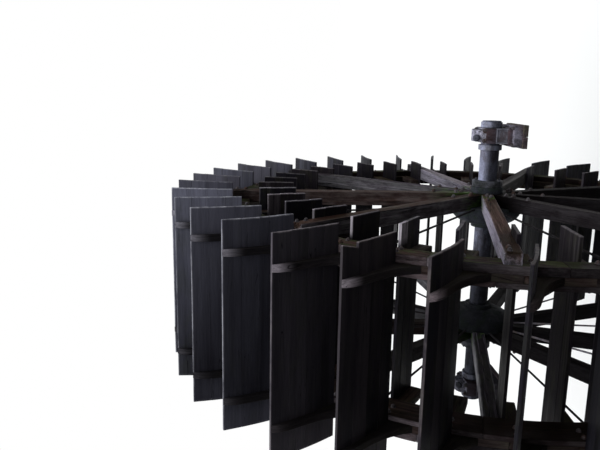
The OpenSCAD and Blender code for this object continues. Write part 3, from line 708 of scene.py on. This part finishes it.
def makeArms(side, name):
    rng = np.random.default_rng(40 + side)
    section = roundedSection(arms["bevel"], arms["lip"], 2, 2)
    faceTone, faceHue, sideTone, sideHue, headTone, headFrom, mossAt, sideWearAndLight = (
        np.array(arms[key])[:, None, None] for key in (
            "faceTone", "faceHue", "sideTone", "sideHue", "headTone", "headFrom", "mossAt", "sideWearAndLight"))
    leaning = armAngles + arms["lean"]
    turn = (np.roll(leaning, -1) - leaning) % 360
    lapFrom, lapTo, end = arms["lapFrom"], arms["lapTo"], arms["end"]
    z = np.array([arms["foot"], *arms["footAt"], lapFrom - 0.001, lapFrom + 0.001,
                  *np.linspace(0.55, 2.85, arms["stations"] - 14), lapTo - 0.001, lapTo + 0.001,
                  3.05, 3.15, end - 0.006, end])
    # The feet meet half-way between two arms, 1 mm clear of the plane there
    front, back = (np.minimum(armWidth / 2, z * np.tan(np.radians(way / 2))[:, None] - 0.001)[:, :, None]
                   for way in (turn, np.roll(turn, 1)))
    across, through = fromSection(section, front + back, armWidth, endsOnly(len(z), 0, 0.005))
    across = across + (front - back) / 2
    lap = np.where((z > lapFrom) & (z < lapTo), arms["lap"], 0.0)[:, None]
    through = through + lap * np.minimum(section[:, 2], 0)
    free = np.clip((z - 0.5) / 1.0, 0, 1) * np.clip((2.5 - z) / 0.5, 0, 1)
    bend = (ripple(rng, bays, z, 0.003, 3, 2.0) * free)[:, :, None]
    worn = ripple(rng, bays, z, 0.0015, 5, 30.0)[:, :, None] * (section[:, 4] > 0)
    t = across + bend + worn * np.sign(section[:, 0]) * 0.5
    z = z[:, None]
    rings = inWheel(side * (armX + armWidth / 2 + through), t, z, leaning[:, None, None])
    grain = grainOf(rng, bays, z, across, through)
    # The foot is darker and mossy round the clamp
    onFace = (section[:, 2] > 0.9) & (section[:, 3] == 0)
    foot = np.clip((0.75 - z) / 0.5, 0, 1)
    # Towards the head the tone changes by headTone, mostly painted shade under the boards
    head = np.clip((z - np.where(onFace, headFrom, ringInner)) / 0.2, 0, 1)
    tone = np.where(onFace, sideTone, faceTone)
    edgeWear = np.where(tone < -0.2, 0.1, 0.3) * section[:, 4]
    tone = tone - foot * np.maximum(0.6 * tone, 0.2) + head * headTone
    # The left arms are darker: painted shade of the paddles over the wheel's left side
    if side < 0:
        tone = np.minimum(tone - 0.3, arms["leftShade"])
    # The eighth arm's outer side is pale: painted light
    finishAndLight = finishAndLightValues(t.shape, tone, np.maximum(edgeWear * (1 - foot), sideWearAndLight * onFace),
                          mossAt * (0.05 + 0.95 * foot), np.where(onFace, sideHue, faceHue))
    piece = buildPiece(name + "Arms", [tubeGroup(rings, grain, finishAndLight)], woods["arm"], "wheel")
    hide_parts("arms_" + name)


eachSide(makeArms)
print("stage: arms")

# Hubs: a bell on a quarter ellipse, the disc that the arms bear on, the sleeve, and the clamp and lock ring

hubs = {"disc": 0.44, "discThick": 0.05, "boss": 0.172, "bossLong": 0.24, "bellLong": 0.19, "sleeve": 0.15,
        "clamp": 0.2, "clampThick": 0.08, "lock": 0.19, "lockLong": 0.083, "lockStep": (0.012, 0.004), "bellSteps": 10,
        "lockBolts": 6, "lockBoltAt": 0.168, "lockBolt": 0.014, "lockTurn": 11}


def makeHub(side, name):
    rng = np.random.default_rng(50 + side)
    face = armX - seat
    back = face - hubs["discThick"]
    bore, inner = shaft["radius"] + shaft["fit"], hubs["sleeve"] + shaft["fit"]
    f = 1 - np.cos(np.linspace(0, math.pi / 2, hubs["bellSteps"]))
    bell = np.stack([back - hubs["bellLong"] * (1 - f),
                     hubs["boss"] + (hubs["disc"] - hubs["boss"]) * np.sqrt(1 - (1 - f) ** 2)], -1)
    clampOut = armOutX + hubs["clampThick"]
    lockIn, lockOut = clampOut + 0.0002, clampOut + hubs["lockLong"]
    along, deep = hubs["lockStep"]
    corners = [(back - hubs["bossLong"], bore), (back - hubs["bossLong"], hubs["boss"]), *bell.tolist(),
               (face, hubs["disc"]), (face, hubs["sleeve"]), (lockOut, hubs["sleeve"]), (lockOut, bore)]
    clampCorners = [(armOutX, inner), (armOutX, hubs["clamp"]), (clampOut, hubs["clamp"]), (clampOut, inner)]
    lockCorners = [(lockIn, inner), (lockIn, hubs["lock"] - deep), (clampOut + along, hubs["lock"]),
                   (lockOut, hubs["lock"]), (lockOut, inner)]
    a = np.arange(hubs["lockBolts"]) * 360 / hubs["lockBolts"] + hubs["lockTurn"]
    base = inWheel(side * (lockOut - 0.001), 0.0, hubs["lockBoltAt"], a)
    lock = [aboutShaft(lockCorners, 0.01, side)] + boltGroups(base, (side, 0, 0), hubs["lockBolt"], rng)
    for label, groups, metal, node in (
            ("Hub", [aboutShaft(corners, 0.006, side, midX, 112)], "hubIron", "hub_"),
            ("Clamp", [aboutShaft(clampCorners, 0.007, side)], "hubIron", "hub_clamp_"),
            ("LockRing", lock, "lockIron", "lock_ring_")):
        piece = buildPiece(name + label, groups, metals[metal], "wheel", 50)
        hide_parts(node + name)


eachSide(makeHub)

# Tie rods from the disc of the hub through the ring, with a nut and a washer on the rim

rods = {"radius": 0.012, "foot": 0.4103, "washer": 0.034, "nut": 0.024, "nutHigh": 0.022, "stub": 0.008, "inset": 0.02}


def makeRods(side, name):
    rng = np.random.default_rng(60 + side)
    a = np.radians(rodAngles)
    out = np.stack([0 * a, -np.sin(a), np.cos(a)], -1)
    base = [midX + side * (armX - rods["inset"]), 0, axisZ] + np.zeros_like(out)
    rim, radius, nut, wide = ringOuter + seat, rods["radius"], rods["nut"], rods["washer"]
    top = rim + rods["nutHigh"]
    end = top + rods["stub"]
    rod = [(rods["foot"], radius), (end - 0.002, radius), (end, radius - 0.002)]
    washer = [(rim, wide), (rim + 0.004, wide), (rim + 0.005, wide - 0.002)]
    head = [(rim + 0.004, nut * 0.92), (rim + 0.0055, nut), (top - 0.002, nut), (top, nut * 0.86)]
    groups = [tubeGroup(turnedRings(base, out, rod, 10)), tubeGroup(turnedRings(base, out, washer, 14)),
              tubeGroup(turnedRings(base, out, head, 6, rng.uniform(0, 1, len(a))))]
    piece = buildPiece(name + "TieRods", groups, metals["rodSteel"], "wheel")
    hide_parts("tie_rods_" + name)


eachSide(makeRods)

# Bolts of the wheel: through each start and both plies, through each arm, and through every plank

bolts = {"ringAt": (3.11, 3.22), "ringSize": 0.02, "armAt": ((0.33, -0.01), (0.41, 0.03), (0.68, -0.03)),
         "armSize": 0.024, "plankSize": 0.011, "plankPlay": 0.008, "sunk": 0.0015}


def gridded(*lists):
    # Every combination of the lists' values, each list as one long row
    return (values.ravel() for values in np.meshgrid(*lists, indexing="ij"))


def makeWheelBolts(side, name):
    rng = np.random.default_rng(70 + side)
    start, at = gridded(np.arange(count), bolts["ringAt"])
    arm = (start + 1) // 4
    underArm = ((start + 1) % 4 == 0) & ~isRear[arm % bays]
    outer = side * np.where(underArm, armOutX, outerPlyOut)
    groups = []
    for s, way in ((outer, side), (side * wheel["plyFace"], -side)):
        groups += boltGroups(inWheel(s, startMiddle, at, paddleAngles[start]), (way, 0, 0), bolts["ringSize"], rng)
    arm, which = gridded(np.arange(bays), np.arange(len(bolts["armAt"])))
    at, t = np.array(bolts["armAt"])[which].T
    groups += boltGroups(inWheel(side * armOutX, t, at, armAngles[arm]), (side, 0, 0), bolts["armSize"], rng)
    arm, at = gridded(np.flatnonzero(isRear), bolts["ringAt"])
    groups += boltGroups(inWheel(side * armOutX, 0.0, at, armAngles[arm]), (side, 0, 0), bolts["ringSize"], rng)
    buildPiece(name + "RingBolts", groups, metals["boltSteel"], "wheel")


def makePlankBolts():
    # Domed heads on the working face of each plank, over the start behind it
    rng = np.random.default_rng(73)
    rows = planks["paddleRows"]
    steps = rootZ + (tipRadius - rootZ) * (np.arange(rows) + 0.5) / rows
    which, z, side = gridded(np.arange(count), steps, (-1, 1))
    s = side * (coreX + core / 2 + rng.uniform(-bolts["plankPlay"], bolts["plankPlay"], len(z)))
    a = np.radians(paddleAngles[which])
    face = paddleT(z) - board / 2 - bolts["sunk"]
    groups = boltGroups(inWheel(s, face, z, paddleAngles[which]), np.stack([0 * a, np.cos(a), np.sin(a)], -1),
                        bolts["plankSize"], rng, "dome")
    buildPiece("plankBolts", groups, metals["boltSteel"], "wheel")


eachSide(makeWheelBolts)
makePlankBolts()
print("stage: hubs, rods and bolts")

# Shaft and its four collars

collars = {"innerRadius": 0.145, "innerLong": 0.065, "innerGap": 0.024, "outerRadius": 0.132, "outerLong": 0.066,
           "outerGap": 0.005, "screw": 0.011, "screwTurn": 20.0, "screwSunk": 0.006, "blockLong": 0.19}


def makeShaft():
    a = np.linspace(0, 2 * math.pi, shaft["around"], endpoint=False)
    left, right = -shaft["span"] - shaft["end"], shaft["end"]
    c, r, hole, deep = (shaft[key] for key in ("chamfer", "radius", "centreHole", "holeDeep"))
    x = np.array([left + deep, left, left, left + c, *np.linspace(left + 0.05, right - 0.05, shaft["cuts"]),
                  right - c, right, right, right - deep])[:, None]
    ends = np.array([shaft["holeEnd"], hole, r - c, r])
    radius = np.concatenate([ends, np.full(shaft["cuts"], r), ends[::-1]])[:, None]
    rings = np.stack(np.broadcast_arrays(x, -radius * np.sin(a), axisZ + radius * np.cos(a)), -1)[None]
    piece = buildPiece("wheelShaft", [tubeGroup(rings)], metals["shaftPaint"], "wheel")
    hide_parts("shaft")
    bore, half, screw = r + shaft["fit"], collars["blockLong"] / 2, collars["screw"]
    turn = math.radians(collars["screwTurn"])
    way = (0, -math.sin(turn), math.cos(turn))
    screwProfile = [(0, screw), (0.011, screw), (0.0125, screw * 0.8), (0.0125, 0.006), (0.006, 0.005)]
    groups = []
    for side, centre in centres.items():
        for begin, long, out in (
                (-half - collars["innerGap"] - collars["innerLong"], collars["innerLong"], collars["innerRadius"]),
                (half + collars["outerGap"], collars["outerLong"], collars["outerRadius"])):
            corners = [(begin, bore), (begin, out), (begin + long, out), (begin + long, bore)]
            foot = out - collars["screwSunk"]
            base = [centre + side * (begin + long / 2), foot * way[1], axisZ + foot * way[2]]
            groups += [aboutShaft(corners, 0.005, side, centre), tubeGroup(turnedRings(base, way, screwProfile, 12))]
    piece = buildPiece("shaftCollars", groups, metals["collarPaint"], "wheel", 50)
    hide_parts("shaft_collars")


makeShaft()

# Bearings: each casting is a copy of its node, cleaned, with its edges rounded, and gets nuts and a cover

bearing = {"round": 0.007, "capNutAt": (0.062, 0.175), "capNut": 0.026, "capNutZ": 0.49, "coverAt": (-0.031, -0.097),
           "crown": (0.454, 0.15), "cover": 0.045, "anchorNutAt": (0.105, 0.245), "anchorNut": 0.022,
           "anchorNutZ": 0.16, "capTopZ": 0.4905, "blockFootZ": 0.212}


def roundedCopy(nodeName, name, materials, choose=None):
    # Merged copy of a node, its flat faces joined up again and its sharp edges given a two-step round
    mesh = nodes[nodeName].data.copy()
    mesh.materials.clear()
    work = bmesh.new()
    work.from_mesh(mesh)
    bmesh.ops.remove_doubles(work, verts=work.verts, dist=0.00002)
    bmesh.ops.dissolve_limit(work, angle_limit=math.radians(1.5), verts=work.verts, edges=work.edges)
    edges = [e for e in work.edges if len(e.link_faces) == 2 and e.calc_face_angle(0) > math.radians(30)]
    bmesh.ops.bevel(work, geom=edges, offset=bearing["round"], offset_type="OFFSET", segments=2, profile=0.5,
                    affect="EDGES", clamp_overlap=True)
    bmesh.ops.triangulate(work, faces=[f for f in work.faces if len(f.verts) > 4])
    for face in work.faces:
        face.material_index = choose(face.calc_center_median(), face.normal) if choose else 0
    work.to_mesh(mesh)
    work.free()
    piece = finishPiece(name, mesh, metals[materials[0]], "bearings", 40)
    for material in materials[1:]:
        piece.data.materials.append(metals[material])
    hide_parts(nodeName)


def makeBearing(side, name):
    rng = np.random.default_rng(90 + side)
    centre, groups = centres[side], []

    # The sides away from the wheel get a darker iron: painted shade
    def capPaint(point, normal):
        return 2 if normal.x * side > 0.9 else int(point.z < bearing["capTopZ"] and normal.z < 0.5)

    def blockPaint(point, normal):
        return 2 if normal.x * side > 0.9 else int(point.z < bearing["blockFootZ"])

    roundedCopy("bearing_cap_" + name, name + "Cap", ("capIron", "flangeIron", "shadedSideIron"), capPaint)
    roundedCopy("bearing_block_" + name, name + "Block", ("blockIron", "flangeIron", "shadedSideIron"), blockPaint)
    roundedCopy("sole_plate_" + name, name + "Sole", ("soleIron",))
    for nut in ("capNut", "anchorNut"):
        x, y = bearing[nut + "At"]
        groups += boltGroups([(centre + i * x, j * y, bearing[nut + "Z"]) for i in (-1, 1) for j in (-1, 1)],
                             (0, 0, 1), bearing[nut], rng)
    buildPiece(name + "BearingNuts", groups, metals["boltSteel"], "bearings")
    # Filler cover: a thick domed disc standing square on the crown of the cap
    x, y = bearing["coverAt"]
    r, (crownZ, crownR) = bearing["cover"], bearing["crown"]
    out = np.array([0.0, y / crownR, math.sqrt(1 - (y / crownR) ** 2)])
    profile = [(-0.025, r * 0.8), (0.0, r * 0.8), (0.002, r * 0.96), (0.006, r), (0.02, r), (0.026, r * 0.92),
               (0.03, r * 0.7), (0.033, r * 0.4), (0.034, r * 0.08)]
    rings = turnedRings(np.array([centre + side * x, 0, crownZ]) + crownR * out, out, profile, 28)
    buildPiece(name + "FillerCover", [tubeGroup(rings)], metals["coverIron"], "bearings", 50)


# Two hewn timbers side by side under each sole plate, their grain along their length
beds = {"long": 0.29, "wide": 0.62, "high": 0.06, "gap": 0.004, "bevel": 0.004, "lip": 0.012, "rough": 0.001}


def makeBed(side, name):
    half, high = beds["wide"] / 2, beds["high"]
    section = roundedSection(beds["bevel"], beds["lip"], 2, 1)
    y = np.array([-half, -half + 0.004, *np.linspace(-half, half, 14)[1:-1], half - 0.004, half])
    rng = np.random.default_rng(100 + len(name))
    width = (beds["long"] - beds["gap"]) / 2
    x = centres[side] + np.array([-1, 1])[:, None, None] * (width + beds["gap"]) / 2
    across, through = fromSection(section, width, high, endsOnly(len(y), 0.004, 0.004))
    rough = ripple(rng, 2, y, beds["rough"], 5, 25.0)[:, :, None] * (np.abs(section[:, 0]) == 1)
    across = across - np.abs(rough) * np.sign(across)
    y = y[:, None]
    rings = np.stack(np.broadcast_arrays(x + across, y, high / 2 + through), -1)
    grain = grainOf(rng, 2, y, across, through, 9)
    finishAndLight = finishAndLightValues(rings.shape[:3], eachPiece(rng, 0.3, 0.6, 2), section[:, 4] * 0.3, 0.35,
                          eachPiece(rng, 0.2, 0.8, 2))
    piece = buildPiece(name + "Bed", [tubeGroup(rings, grain, finishAndLight)], woods["bed"], "bearings")
    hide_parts("bearing_bed_" + name)


eachSide(makeBearing, makeBed)
print("stage: shaft and bearings")

# Camera: the photo lies on its side, so the camera is rolled a quarter turn

view = {"place": (0.5157, -8.1378, 3.1317), "yaw": 11.81, "pitch": 2.49, "roll": 0.45, "lens": 38.63}


def makeCamera():
    yaw, pitch, roll = (math.radians(view[key]) for key in ("yaw", "pitch", "roll"))
    ahead = np.array([-math.sin(yaw) * math.cos(pitch), math.cos(yaw) * math.cos(pitch), -math.sin(pitch)])
    level = np.array([math.cos(yaw), math.sin(yaw), 0.0])
    above = np.cross(level, ahead)
    right = math.cos(roll) * level + math.sin(roll) * above
    above = -math.sin(roll) * level + math.cos(roll) * above
    data = bpy.data.cameras.new("camera")
    data.sensor_width, data.lens, data.clip_end = 36.0, view["lens"], 200.0
    camera = bpy.data.objects.new("camera", data)
    turned = np.vstack([np.column_stack([-above, right, -ahead, view["place"]]), [0, 0, 0, 1]])
    camera.matrix_world = Matrix(turned.tolist())
    bpy.context.scene.collection.objects.link(camera)
    bpy.context.scene.camera = camera


def seenBy(paint):
    # 1 for what the camera, a reflection or a refraction sees, 0 for light that falls on the object
    path = paint.add("LightPath").outputs
    seen = paint.maths("MAXIMUM", path["Is Camera Ray"], path["Is Glossy Ray"])
    return paint.maths("MAXIMUM", seen, path["Is Transmission Ray"])


# Soft light from above: the sky is bright overhead and dim at the horizon, with one wide lamp
light = {"skyLow": (0.01, 0.01, 0.011), "skyMiddle": (0.022, 0.023, 0.026), "skyHigh": (0.95, 1.0, 1.14),
         "sunStrength": 1.2, "sunAngle": 70.0, "sunTurn": (16.0, 6.0), "floorZ": -3.69, "floorHalf": 60.0,
         "floorSeen": (1.0, 0.98, 0.9), "floorLit": (0.04, 0.04, 0.04)}


def makeStage():
    world = bpy.data.worlds.new("world")
    bpy.context.scene.world = world
    world.use_nodes = True
    world.node_tree.nodes.clear()
    paint = paintTree(world.node_tree)
    up = paint.add("SeparateXYZ", {0: paint.add("TexCoord").outputs["Generated"]}).outputs[2]
    sky = paint.mix(paint.span(up, -0.2, 0.05), light["skyLow"], light["skyMiddle"])
    sky = paint.mix(paint.span(up, 0.15, 0.85), sky, light["skyHigh"])
    soft, white = (paint.add("Background", {"Color": colour, "Strength": 1.0}).outputs[0]
                   for colour in (sky, (1, 1, 1, 1)))
    paint.add("OutputWorld", {0: paint.add("MixShader", {0: seenBy(paint), 1: soft, 2: white}).outputs[0]})
    data = bpy.data.lights.new("softSun", "SUN")
    data.energy, data.angle = light["sunStrength"], math.radians(light["sunAngle"])
    sun = bpy.data.objects.new("softSun", data)
    sun.rotation_euler = (*np.radians(light["sunTurn"]), 0)
    half = light["floorHalf"]
    mesh = bpy.data.meshes.new("floor")
    mesh.from_pydata([(x * half, y * half, light["floorZ"]) for x, y in ((-1, -1), (1, -1), (1, 1), (-1, 1))], [],
                     [(0, 1, 2, 3)])
    material, shader, paint = startMaterial("floorPaint", {"Roughness": 0.9})
    paint.put(shader, "Base Color", paint.mix(seenBy(paint), light["floorLit"], light["floorSeen"]))
    mesh.materials.append(material)
    floor = bpy.data.objects.new("floor", mesh)
    for thing in (sun, floor):
        bpy.context.scene.collection.objects.link(thing)


makeCamera()
makeStage()
bpy.context.scene.view_settings.view_transform = "Standard"
print("stage: camera and light")
